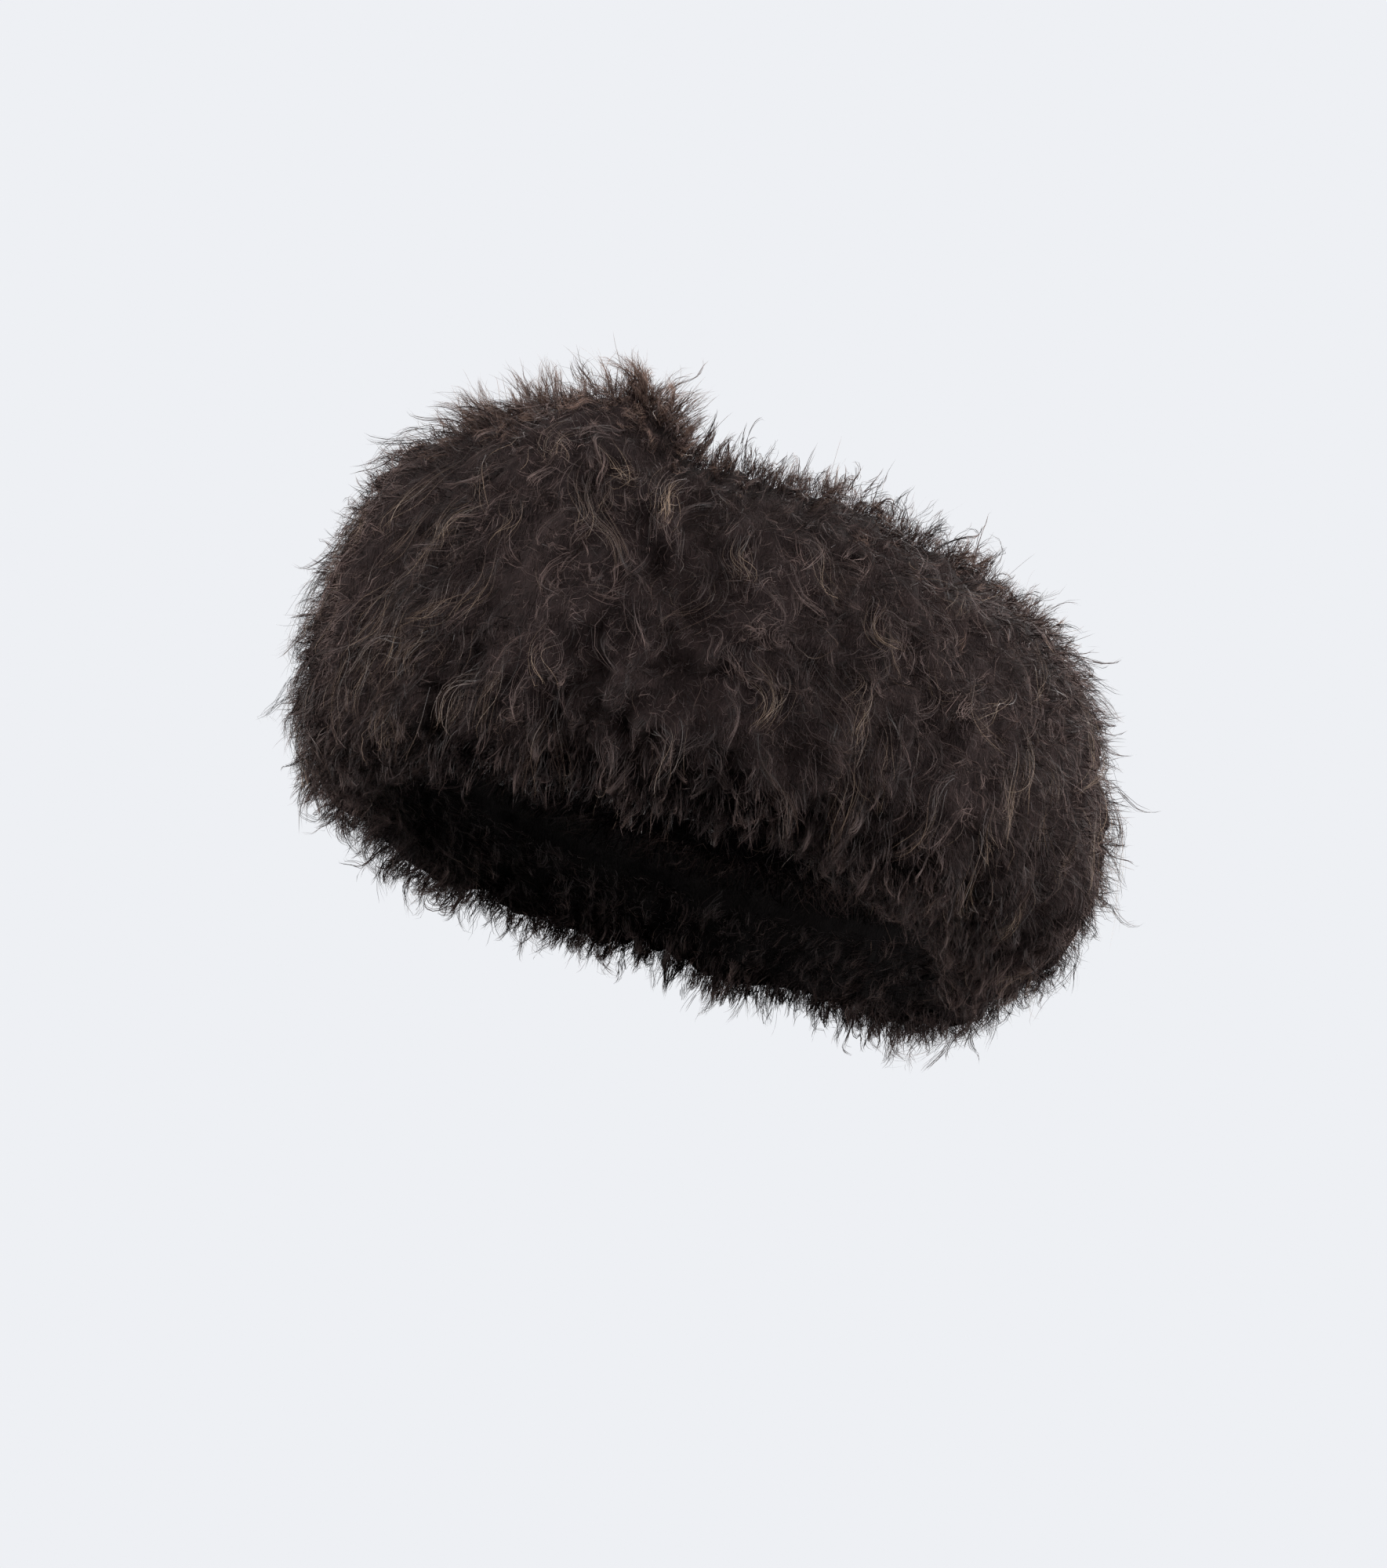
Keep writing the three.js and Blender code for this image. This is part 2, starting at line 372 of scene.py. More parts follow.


# Felted wool or suede: mottled between two colours, darkened as painted shade by the piece's paintedShade
# attribute, with a fine nap as bump
def feltMaterial(name, look):
    material, nodes, links, shader = emptyMaterial(name)
    uneven = nodes.new("ShaderNodeGroup")
    uneven.node_tree = mottle
    uneven.inputs["Coarse Scale"].default_value = look["coarse"]
    uneven.inputs["Fine Scale"].default_value = look["fine"]
    uneven.inputs["Swirl"].default_value = look["swirl"]
    uneven.inputs["Upright Scale"].default_value = look["upright"]
    mix = colourMix(nodes)
    mix.inputs["A"].default_value = (*look["dark"], 1)
    mix.inputs["B"].default_value = (*look["pale"], 1)
    links.new(uneven.outputs["Tone"], mix.inputs["Factor"])
    shadeMask = nodes.new("ShaderNodeAttribute")           # painted shade: wool that turns in, away from the light, is made darker
    shadeMask.attribute_name = "paintedShade"
    paintShade = colourMix(nodes)
    paintShade.inputs["B"].default_value = (*look["paintedShade"], 1)
    links.new(shadeMask.outputs["Fac"], paintShade.inputs["Factor"])
    links.new(mix.outputs["Result"], paintShade.inputs["A"])
    links.new(paintShade.outputs["Result"], shader.inputs["Base Color"])
    bump = nodes.new("ShaderNodeBump")
    bump.inputs["Strength"].default_value = look["bump"]
    bump.inputs["Distance"].default_value = look["napDepth"]
    links.new(uneven.outputs["Nap"], bump.inputs["Height"])
    links.new(bump.outputs["Normal"], shader.inputs["Normal"])
    shader.inputs["Roughness"].default_value = look["roughness"]
    shader.inputs["Specular IOR Level"].default_value = look["specular"]
    return material


# Hide: the loop's inner wall, suede side in

hide = dict(
    rows=160, columns=32,
    tall=0.9, flat=0.25,        # powers that round the strip's rims and keep its faces straight
    thickShare=0.9,             # of the hide's thickness, so that the ripples stay clear of the wool
    ripple=0.00025, ripples=17, rippleSlant=90,
    # dark suede, made near black as painted shade of the hollow inside the loop
    look=dict(dark=(0.001, 0.0008, 0.0009), pale=(0.003, 0.0024, 0.0025), paintedShade=(0.001, 0.0008, 0.0009),
              coarse=45, fine=1400, swirl=0.5, upright=1.0, bump=0.5, napDepth=0.0004,
              roughness=0.95, specular=0.02),
)


# Hide section: a flat strip with rounded rims, a superellipse, carried round the loop. A sine of angle and
# height ripples it between the rims.
def hideBand():
    theta = anglesRound(hide["rows"])[:, None]
    turn = np.linspace(0, 2 * np.pi, hide["columns"], endpoint=False)[None, :]
    top, bottom = sectionAt(theta, "hideTop"), sectionAt(theta, "hideBottom")
    tall = np.sign(np.sin(turn)) * np.abs(np.sin(turn)) ** hide["tall"]
    flat = np.sign(np.cos(turn)) * np.abs(np.cos(turn)) ** hide["flat"]
    up = (top + bottom) / 2 + tall * (top - bottom) / 2
    phase = np.radians(theta) * hide["ripples"] + up * hide["rippleSlant"]
    ripple = hide["ripple"] * np.sin(phase) * (1 - tall ** 2)
    out = loop["hideThick"] / 2 + flat * loop["hideThick"] / 2 * hide["thickShare"] + ripple
    points = placeOnLoop(theta + 0 * turn, out, up)
    faces, uv = gridFaces(hide["rows"], hide["columns"])
    suede = feltMaterial("suede", hide["look"])
    piece = meshPiece("hide", points.reshape(-1, 3), faces, uv, suede)
    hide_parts("hide_band")


hideBand()
print("hide done")


# How the fleece lies

# at each level round the section: fibre length in millimetres, its pitch at root and tip in degrees (0 lies
# down the section, 90 stands straight out, 180 lies up the section), its change of tone, and how far the
# matted body stands out, in millimetres; the last level stands for the hide's inner face
lie = dict(
    level=[-150, -115, -92, -72, -45, -20, 0, 40, 62, 80, 100, 125, 150, 180],
    length=[8, 8, 9, 12, 22, 29, 32, 28, 20, 14, 12, 11, 8, 9],
    rootPitch=[105, 100, 92, 82, 55, 40, 36, 44, 66, 84, 96, 105, 110, 60],
    tipPitch=[150, 128, 98, 58, 20, 8, 5, 8, 26, 68, 112, 140, 155, 12],
    # tone: painted shade, darker down the lower front, round both rims into the loop and on the inner face;
    # painted light, paler over the crest, where light shines through the fibres
    tone=[-0.46, -0.40, -0.24, -0.20, -0.18, -0.10, -0.02, 0.0, 0.08, 0.26, 0.24, -0.10, -0.40, -0.42],
    body=[0, 0.5, 0.5, 0.5, 0.8, 1.2, 1.4, 1.2, 0.8, 0.5, 0.5, 0.5, 0, 0],
)

# the fleece falls away to both sides from the tuft at the front
whorl = dict(angle=8.0, spread=50.0, swing=52.0, ruffle=24.0, fineRuffle=14.0, hang=0.4)


# A column of the lie at any level, straight from row to row
def lieAt(level, column):
    return np.interp(level, lie["level"], lie[column])


# Heading of the fleece: 0 is straight down the section, positive turns towards larger angles.
# It swings to each side of the whorl by the tanh of the angle from it and fades out towards the back by a
# squared cosine; two drifts ruffle it.
def heading(theta, share):
    away = shortWay(theta - whorl["angle"])
    swing = whorl["swing"] * np.tanh(away / whorl["spread"]) * np.cos(np.radians(away) / 2) ** 2
    ruffle = whorl["ruffle"] * drift(theta, share, "turn")
    return np.radians(swing + ruffle + whorl["fineRuffle"] * drift(theta, share, "fineTurn"))


# Share of the section at which a level lies: the part of its row's levels that are below it
def shareOfLevel(theta, wanted):
    row = np.mod(np.round(theta / 360.0 * loop["gridRound"]).astype(int), loop["gridRound"])
    return (skin["levels"][row] < wanted[:, None]).mean(axis=1)


# what a coat has unless it says otherwise. Its roots lie between two shares of the section, some of them
# about levels at the rims and some in spots at angles round the loop; rise scales the height of its locks.
anyCoat = dict(
    between=(0.02, 0.98), rims=0.0, rimLevels=(-84.0, 84.0), rimSpread=16.0,
    inSpots=0.0, spots=(-26.0, -14.0, 11.0), spotSpread=4.5,
    pieces=1, stations=13, length=0.0, upright=0.0, proud=0.0, rise=1.0,
)

# how strongly each drift changes the tone: tone and fineTone at random, roll as painted shade in the hollows
# and painted light on the swellings of the fleece
toneAndShadeWeights = dict(tone=0.10, roll=0.32, fineTone=0.10)

# where the fleece is darker or paler: beside the tuft, along the crest at the wearer's left, at the wearer's
# right, and low in front, where the darkening is painted shade
patches = [
    dict(angle=32, angleSpread=24, level=15, levelSpread=42, tone=-0.20),
    dict(angle=90, angleSpread=40, level=55, levelSpread=32, tone=0.16),
    dict(angle=-45, angleSpread=25, level=-5, levelSpread=35, tone=0.08),
    # painted shade: the lower front, which turns down away from the light
    dict(angle=30, angleSpread=80, level=-80, levelSpread=42, tone=-0.20),
]


# Sum of the patches at an angle and level, each a bell curve both ways
def patchTone(theta, level):
    total = 0.0
    for patch in patches:
        aside = shortWay(theta - patch["angle"]) / patch["angleSpread"]
        above = (level - patch["level"]) / patch["levelSpread"]
        total = total + patch["tone"] * np.exp(-aside ** 2 - above ** 2)
    return total


# The fleece's change of tone at a place, painted light and shade in part: what the lie gives, the drifts by
# their weights and the patches
def placeTone(theta, share, level):
    total = lieAt(level, "tone")
    for kind, weight in toneAndShadeWeights.items():
        total = total + weight * drift(theta, share, kind)
    return total + patchTone(theta, level)


# Roots strewn evenly over a grid, then by chance into the coat's spots and about its rims, with what the grid
# and the lie give there
def strewRoots(coat, count, grid):
    theta = rng.uniform(0, 360, count)
    spot = rng.choice(coat["spots"], count) + rng.normal(0, coat["spotSpread"], count)
    theta = np.where(rng.random(count) < coat["inSpots"], np.mod(spot, 360), theta)
    share = rng.uniform(*coat["between"], count)
    rim = rng.choice(coat["rimLevels"], count) + rng.normal(0, coat["rimSpread"], count)
    share = np.where(rng.random(count) < coat["rims"], shareOfLevel(theta, rim), share)
    level = fromGrid(grid["levels"], theta, share)
    return dict(
        theta=theta, share=share, level=level, head=heading(theta, share),
        perDegree=fromGrid(grid["perDegree"], theta, share),
        sectionLength=fromGrid(grid["length"], theta, share),
        rootPitch=np.radians(lieAt(level, "rootPitch")), tipPitch=np.radians(lieAt(level, "tipPitch")),
        tone=placeTone(theta, share, level),
    )


# A way over the skin from its root. Every step goes as heading and pitch say: sideways by
# cos(pitch) sin(heading), down the section by cos(pitch) cos(heading) and out by sin(pitch).
def walk(head, pitch, step):
    ways = [np.cos(pitch) * np.sin(head), np.cos(pitch) * np.cos(head), np.sin(pitch)]
    start = np.zeros((len(head), 1))
    return [np.concatenate([start, np.cumsum(way * step, axis=1)], axis=1) for way in ways]


# Points on a grid from roots, ways over the skin and a height above it
def onGrid(grid, roots, across, down, lift):
    theta = roots["theta"] + across / roots["perDegree"]
    share = roots["share"] - down / roots["sectionLength"]
    normals = fromGrid(grid["normals"], theta, share)
    return fromGrid(grid["points"], theta, share) + normals * lift[..., None], normals


# how one lock or fibre varies from the next, as a span of times the coat's own value
varied = dict(turns=(0.6, 1.4), wave=(0.4, 1.4), looseLength=(0.6, 1.3))

# shares of the wave and of the curl that go up and down, and the powers by which the pitch eases off from the
# root and the curl grows to the tip
lockShape = dict(waveUp=0.4, rootPower=3, curlPower=3)
looseShape = dict(waveUp=0.6, curlUp=0.5, rootPower=3, curlPower=2)

# a lock's fibres: where they end along it, how they spread across it and are drawn in to its tip, how their
# wander varies, how much lower its sides are, how much painted shade darkens them, and how far their roots
# sink or stand up
bundle = dict(
    end=(0.8, 1.0), spread=0.5, widest=1.2, gatherPower=0.8, turns=(0.6, 1.8), wander=(0.3, 1.5),
    sideDrop=0.6, sideShade=0.10, sink=(-0.0015, 0.0010),
)
toneEnds = (0.02, 0.98)


# A sine wave along a lock or fibre, from a random start: its turn at each place and its size
def ownWave(coat, count, mid):
    turn = 2 * np.pi * coat["turns"] * rng.uniform(*varied["turns"], (count, 1)) * mid
    turn = turn + rng.uniform(0, 2 * np.pi, (count, 1))
    return turn, coat["wave"] * rng.uniform(*varied["wave"], (count, 1))


# Length of a lock or fibre: the coat's own and a share of what the lie gives
def ownLength(coat, level):
    return coat["even"] + coat["length"] * lieAt(level, "length") * mm


# Locks: tapering bundles of fibres that lie over each other like shingles. Their middle lines walk over the
# skin with a wave and, growing with the cube of the way to the tip, a curl.
def makeLocks(coat):
    roots = strewRoots(coat, coat["locks"], skin)
    count, stations = coat["locks"], coat["stations"]
    column = {name: values[:, None] for name, values in roots.items()}
    mid = (np.arange(stations - 1) + 0.5)[None, :] / (stations - 1)
    turn, wave = ownWave(coat, count, mid)
    curl = mid ** lockShape["curlPower"]
    head = column["head"] + rng.normal(0, coat["lockTurn"], (count, 1))
    head = head * (1 - whorl["hang"] * mid) + wave * np.cos(turn)
    head = head + rng.normal(0, coat["curl"], (count, 1)) * curl
    tip = column["tipPitch"] + rng.normal(coat["upright"], coat["uprightSpread"], (count, 1))
    pitch = tip + (column["rootPitch"] - tip) * (1 - mid) ** lockShape["rootPower"]
    pitch = pitch + lockShape["waveUp"] * wave * np.sin(turn)
    pitch = pitch + rng.normal(0, coat["curl"], (count, 1)) * curl
    length = ownLength(coat, column["level"]) * rng.uniform(*coat["size"], (count, 1))
    across, down, lift = walk(head, pitch, length / (stations - 1))
    roots.update(
        across=across, down=down, lift=lift, way=np.concatenate([head, head[:, -1:]], axis=1),
        width=rng.uniform(*coat["width"], count),
        tone=roots["tone"] + coat["tone"] + rng.normal(0, coat["lockTone"], count),
    )
    return roots


# Straight look-up along the locks' lines, row by row
def alongLock(lines, pick, s):
    at = s * (lines.shape[1] - 1)
    low = np.minimum(np.floor(at).astype(int), lines.shape[1] - 2)
    part = at - low
    row = pick[:, None]
    return lines[row, low] * (1 - part) + lines[row, low + 1] * part


# Fibres of the locks: each starts somewhere along its lock, keeps its place across it, which is drawn in
# towards the tip, and has a small wander of its own
def lockFibres(coat, locks, grid):
    count, steps = coat["fibres"], coat["steps"]
    chance = locks["width"] / locks["width"].sum()
    pick = rng.choice(len(chance), count, p=chance)
    begin = rng.uniform(0, coat["begin"], (count, 1))
    end = rng.uniform(*bundle["end"], (count, 1))
    s = begin + (end - begin) * np.linspace(0, 1, steps + 1)[None, :]
    place = np.clip(rng.normal(0, bundle["spread"], (count, 1)), -bundle["widest"], bundle["widest"])
    aside = place * locks["width"][pick][:, None] * (1 - coat["gather"] * s ** bundle["gatherPower"])
    turn = 2 * np.pi * rng.uniform(*bundle["turns"], (count, 1)) * s + rng.uniform(0, 2 * np.pi, (count, 1))
    wander = coat["wander"] * s * rng.uniform(*bundle["wander"], (count, 1))
    aside = aside + wander * np.sin(turn)
    way = alongLock(locks["way"], pick, s)
    across = alongLock(locks["across"], pick, s) + aside * np.cos(way)
    down = alongLock(locks["down"], pick, s) - aside * np.sin(way)
    # the bundle is round: high along its middle, low at its sides and at the roots
    bulge = 1 - bundle["sideDrop"] * place ** 2
    lift = alongLock(locks["lift"], pick, s) * bulge * coat["rise"] + wander * np.cos(turn)
    lift = lift + coat["proud"] + rng.uniform(*bundle["sink"], (count, 1)) * (1 - s)
    own = {name: locks[name][pick][:, None] for name in ("theta", "share", "perDegree", "sectionLength")}
    points, normals = onGrid(grid, own, across, down, lift)
    tone = locks["tone"][pick] + rng.normal(0, coat["toneSpread"], count)
    # fibres at a lock's sides are darker: painted shade of the round bundle
    return points, normals, np.clip(tone - bundle["sideShade"] * np.abs(place[:, 0]), *toneEnds)


# Loose fibres: each walks by itself, with its own wave and a curl that grows with the square of the way to
# the tip
def looseFibres(coat, grid):
    roots = strewRoots(coat, coat["fibres"], grid)
    count, steps = coat["fibres"], coat["steps"]
    column = {name: values[:, None] for name, values in roots.items()}
    mid = (np.arange(steps) + 0.5)[None, :] / steps
    turn, wave = ownWave(coat, count, mid)
    curl = mid ** looseShape["curlPower"]
    head = column["head"] + rng.normal(0, coat["stray"], (count, 1)) + wave * np.cos(turn)
    head = head + rng.normal(0, coat["curl"], (count, 1)) * curl
    tip = column["tipPitch"] + np.sign(np.pi / 2 - column["tipPitch"]) * coat["upright"]
    tip = tip + rng.normal(0, coat["uprightSpread"], (count, 1))
    pitch = tip + (column["rootPitch"] - tip) * (1 - mid) ** looseShape["rootPower"]
    pitch = pitch + looseShape["waveUp"] * wave * np.sin(turn)
    pitch = pitch + rng.normal(0, looseShape["curlUp"] * coat["curl"], (count, 1)) * curl
    length = ownLength(coat, column["level"]) * rng.uniform(*varied["looseLength"], (count, 1))
    across, down, lift = walk(head, pitch, length / steps)
    points, normals = onGrid(grid, column, across, down, lift + rng.uniform(*coat["root"], (count, 1)))
    tone = coat["tone"] + roots["tone"] + rng.normal(0, coat["toneSpread"], count)
    return points, normals, np.clip(tone, *toneEnds)


# the main locks come first, because the under wool swells beneath them
fleece = dict(
    anyCoat, name="fleece", pieces=2, locks=2200, rims=0.12, stations=15, fibres=17000, steps=5,
    even=0.006, length=0.50, size=(0.6, 1.35), width=(0.0025, 0.0065),
    lockTurn=0.48, wave=0.55, turns=1.0, curl=1.0, upright=0.10, uprightSpread=0.16,
    begin=0.60, gather=0.85, wander=0.0007, proud=0.0015,
    tone=0.44, lockTone=0.21, toneSpread=0.16, thick=0.00017,
)
fleeceLocks = makeLocks(fleece)
print("locks done:", fleece["locks"])


# Under wool: the matted body of the fleece, which the fibres stand on

swell = dict(
    rough=0.0018, share=0.55, most=0.005, widthTimes=1.3, taper=0.06,
    flatFrom=45.0, flatTo=70.0,                         # levels between which the lenses flatten out
    risePower=0.7, narrow=0.75, narrowPower=1.5,        # a lens rises and narrows towards its tip
    strips=36, reach=32.0, shortest=1e-6,               # strips of the loop, and degrees a lock may reach
)


# Height of the matted body over the skin: what the lie gives, a fine roughness and the highest of the locks'
# lenses. A lens rises with a power of the way along its lock and falls off with the square of the way across
# it, sooner towards its tip.
def lumpGrid():
    theta = anglesRound(loop["gridRound"])
    share = np.linspace(0, 1, loop["gridAlong"])
    high = np.zeros((loop["gridRound"], loop["gridAlong"]))
    endAcross, endDown = fleeceLocks["across"][:, -1], fleeceLocks["down"][:, -1]
    run = np.hypot(endAcross, endDown) + swell["shortest"]
    # none of them at the rims, where the locks stand
    flat = (np.abs(fleeceLocks["level"]) - swell["flatFrom"]) / (swell["flatTo"] - swell["flatFrom"])
    top = np.clip(fleeceLocks["lift"][:, -1] * swell["share"], 0, swell["most"]) * (1 - np.clip(flat, 0, 1))
    for rows in np.array_split(np.arange(loop["gridRound"]), swell["strips"]):
        near = np.abs(shortWay(fleeceLocks["theta"] - theta[rows[len(rows) // 2]])) < swell["reach"]
        names = ("theta", "share", "perDegree", "sectionLength", "width")
        lock = {name: fleeceLocks[name][near] for name in names}
        turned = shortWay(theta[rows][:, None] - lock["theta"][None])
        across = (turned * lock["perDegree"])[:, None, :]
        down = ((lock["share"][None] - share[:, None]) * lock["sectionLength"])[None]
        wayA, wayD = (endAcross / run)[near], (endDown / run)[near]
        along = (across * wayA + down * wayD) / run[near]
        beside = (across * wayD - down * wayA) / (lock["width"] * swell["widthTimes"])
        inside = np.clip(along, 0, 1)
        narrowed = 1 - swell["narrow"] * inside ** swell["narrowPower"]
        lens = top[near] * inside ** swell["risePower"] * (1 - (beside / narrowed) ** 2)
        lens = np.where((along > 0) & (along < 1), lens, 0)
        high[rows] = np.maximum(lens.max(axis=2), 0)
    taper = np.clip(np.minimum(share, 1 - share) / swell["taper"], 0, 1)[None, :]
    rough = swell["rough"] * drift(theta[:, None], share[None, :], "rough")
    lift = (lieAt(skin["levels"], "body") * mm + high + rough) * taper
    return dict(skin, points=skin["points"] + skin["normals"] * lift[..., None])


lumps = lumpGrid()
print("swellings done")

underWool = dict(
    rows=280, columns=106, inset=0.0004, taper=0.1, clearOfHide=0.0004,
    turnIn=0.014,                              # how far it runs in over the hide's inner face from each rim
    # the matted body is coloured darker than the fibres: painted shade in the gaps between them
    look=dict(dark=(0.005, 0.0032, 0.0031), pale=(0.022, 0.0143, 0.0135), paintedShade=(0.003, 0.0022, 0.0022),
              coarse=140, fine=1100, swirl=1.6, upright=0.24, bump=1.0, napDepth=0.0015,
              roughness=0.95, specular=0.1),
    paintedShadeFrom=75.0, paintedShadeTo=115.0,           # levels between which the wool turns in and its painted shade grows from none to full
)


# The swollen skin drawn in by the inset, closed behind by a strip along the hide
def underWoolBody():
    theta = anglesRound(underWool["rows"])[:, None]
    share = np.linspace(0, 1, underWool["columns"])[None, :]
    theta, share = theta + 0 * share, share + 0 * theta
    taper = np.clip(np.minimum(share, 1 - share) / underWool["taper"], 0, 1)
    inward = fromGrid(skin["normals"], theta, share) * (underWool["inset"] * taper)[..., None]
    points = fromGrid(lumps["points"], theta, share) - inward
    # back along the hide: over the inner face, the rims and the outer face, just clear of it
    clear = underWool["clearOfHide"]
    first = theta[:, :1]
    top, bottom = sectionAt(first, "hideTop"), sectionAt(first, "hideBottom")
    inner, outer, turnIn = -clear, loop["hideThick"] + clear, underWool["turnIn"]
    out = np.array([inner, inner, outer, outer, inner, inner])[None, :]
    heights = [top - turnIn, top + clear, top + clear, bottom - clear, bottom - clear, bottom + turnIn]
    up = np.concatenate(heights, axis=1)
    back = placeOnLoop(first + 0 * out, out + 0 * up, up)
    points = np.concatenate([points, back], axis=1)
    # painted shade: none outside, growing to full where the wool turns in over the rims, full all along the
    # hide
    level = np.abs(fromGrid(skin["levels"], theta, share))
    turned = (level - underWool["paintedShadeFrom"]) / (underWool["paintedShadeTo"] - underWool["paintedShadeFrom"])
    paintedShade = np.concatenate([np.clip(turned, 0, 1), np.ones(back.shape[:2])], axis=1)
    faces, uv = gridFaces(underWool["rows"], points.shape[1])
    felt = feltMaterial("matted_wool", underWool["look"])
    piece = meshPiece("under_wool", points.reshape(-1, 3), faces, uv, felt, paintedShade)
    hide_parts("wool_pile")


underWoolBody()
print("under wool done")

innerWall = dict(leastSlope=0.001)


# The loop's inner face as a grid, from its upper rim to its lower one: along the hide, and near each rim
# sloping straight in to the edge of the wool
def innerGrid():
    theta = anglesRound(loop["gridRound"])[:, None]
    share = np.linspace(0, 1, loop["gridAlong"])[None, :]
    topOut, top = woolSkin(theta, loop["lastLevel"])
    bottomOut, bottom = woolSkin(theta, -loop["lastLevel"])
    up = top + (bottom - top) * share
    least, turnIn = innerWall["leastSlope"], underWool["turnIn"]
    hideFrom = np.maximum(bottom + least, sectionAt(theta, "hideBottom") + turnIn)
    hideTo = np.minimum(top - least, sectionAt(theta, "hideTop") - turnIn)
    out = topOut * np.clip((up - hideTo) / (top - hideTo), 0, 1)
    out = out + bottomOut * np.clip((hideFrom - up) / (hideFrom - bottom), 0, 1)
    points = placeOnLoop(theta + 0 * share, out, up)
    levels = np.full(points.shape[:2], lie["level"][-1])
    return gridOf(points, levels, (top - bottom)[:, 0])


innerFace = innerGrid()

# Fibres: every one is a ribbon of its own

ribbon = dict(tilt=1.2, taper=0.6, taperPower=1.5, width=(0.7, 1.3), toneSliver=0.004, shortest=1e-9)


# Ribbon along each path: its width lies across the path, turned by a tilt of its own, falls off with a power
# of the way along it and ends in a point
def ribbonPiece(name, points, normals, tone, width, material):
    count, steps = points.shape[0], points.shape[1] - 1
    s = np.linspace(0, 1, steps + 1)
    along = np.gradient(points, axis=1)
    along /= np.linalg.norm(along, axis=2, keepdims=True) + ribbon["shortest"]
    flat = np.cross(along, normals)
    flat /= np.linalg.norm(flat, axis=2, keepdims=True) + ribbon["shortest"]
    edge = np.cross(along, flat)
    tilt = rng.uniform(-ribbon["tilt"], ribbon["tilt"], (count, 1, 1))
    wide = flat * np.cos(tilt) + edge * np.sin(tilt)
    taper = 1 - ribbon["taper"] * s[None, :] ** ribbon["taperPower"]
    half = (width / 2 * rng.uniform(*ribbon["width"], (count, 1)) * taper)[..., None]
    sides = np.stack([points - wide * half, points + wide * half], axis=2)[:, :-1]
    corners = np.concatenate([sides.reshape(count, 2 * steps, 3), points[:, -1:]], axis=1)
    k = 2 * np.arange(steps - 1)
    tip = [[2 * steps - 2, 2 * steps - 1, 2 * steps]]
    strip = [np.stack([k, k + 1, k + 3], axis=1), np.stack([k, k + 3, k + 2], axis=1), tip]
    first = np.arange(count)[:, None, None] * (2 * steps + 1)
    faces = (first + np.concatenate(strip)[None]).reshape(-1, 3)
    uv = np.empty((count, 2 * steps + 1, 2))
    sliver = [-ribbon["toneSliver"], ribbon["toneSliver"]]      # so that no face is a line in the UV map
    uv[..., 0] = tone[:, None] + np.append(np.tile(sliver, steps), 0)
    uv[..., 1] = np.append(np.repeat(s[:-1], 2), 1)
    uv = uv.reshape(-1, 2)[faces.ravel()]
    return meshPiece(name, corners.reshape(-1, 3), faces, uv, material)


fibreLook = dict(
    roughness=0.6, specular=0.12, darkRoot=(0.006, 0.0039, 0.0037), darkTip=(0.015, 0.0097, 0.0092),
    paleRoot=(0.038, 0.0248, 0.0234), paleTip=(0.112, 0.0765, 0.0680),
)
fibreWool = fibreMaterial("wool_fibres", fibreLook)

# wool inside the loop, its colours made far darker than the fleece's as painted shade
shadedNapLook = dict(
    fibreLook, specular=0.05, darkRoot=(0.0015, 0.0012, 0.0013), darkTip=(0.003, 0.0024, 0.0026),
    paleRoot=(0.004, 0.0032, 0.0034), paleTip=(0.016, 0.0125, 0.0130),
)
shadedNapWool = fibreMaterial("wool_nap_painted_shade", shadedNapLook)

# wool along the crest, paler and browner towards the tips: painted light that stands in for light shining
# through its thin fibres; and tan strands
crestLitLook = dict(fibreLook, specular=0.05, darkTip=(0.026, 0.0165, 0.0140), paleTip=(0.170, 0.1120, 0.0900))
crestLitWool = fibreMaterial("wool_crest_painted_light", crestLitLook)
wispLook = dict(
    fibreLook, roughness=0.45, specular=0.16, darkTip=(0.050, 0.0330, 0.0270), paleTip=(0.22, 0.158, 0.112),
)
wispWool = fibreMaterial("wool_wisps", wispLook)


# A coat's fibres as ribbons, cut into pieces by their place round the loop
def coatPieces(coat, fibres, material):
    points, normals, tone = fibres
    order = np.argsort(np.arctan2(points[:, 0, 0], -points[:, 0, 1]))
    faces = 0
    for k, part in enumerate(np.array_split(order, coat["pieces"])):
        name = coat["name"] if coat["pieces"] == 1 else f"{coat['name']}_{k + 1}"
        piece = ribbonPiece(name, points[part], normals[part], tone[part], coat["thick"], material)
        faces += len(piece.data.polygons)
    print(coat["name"], "done:", coat["fibres"], "fibres,", faces, "triangles")


# A coat's locks, where it has them, then its fibres and their pieces
def addCoat(coat, grid, material):
    fibres = lockFibres(coat, makeLocks(coat), grid) if "locks" in coat else looseFibres(coat, grid)
    coatPieces(coat, fibres, material)


# Coats of the fleece: the main locks, and thinner ones over them

coatPieces(fleece, lockFibres(fleece, fleeceLocks, skin), fibreWool)

# short tufts that stand up between the locks
tufts = dict(
    anyCoat, name="tufts", pieces=2, locks=7000, rims=0.2, fibres=29000, steps=4,
    even=0.0080, length=0.05, size=(0.6, 1.3), width=(0.0010, 0.0028),
    lockTurn=0.9, wave=0.6, turns=0.9, curl=1.5, upright=0.55, uprightSpread=0.30,
    begin=0.4, gather=0.8, wander=0.0005,
    tone=0.44, lockTone=0.16, toneSpread=0.13, thick=0.00018,
)
addCoat(tufts, lumps, fibreWool)

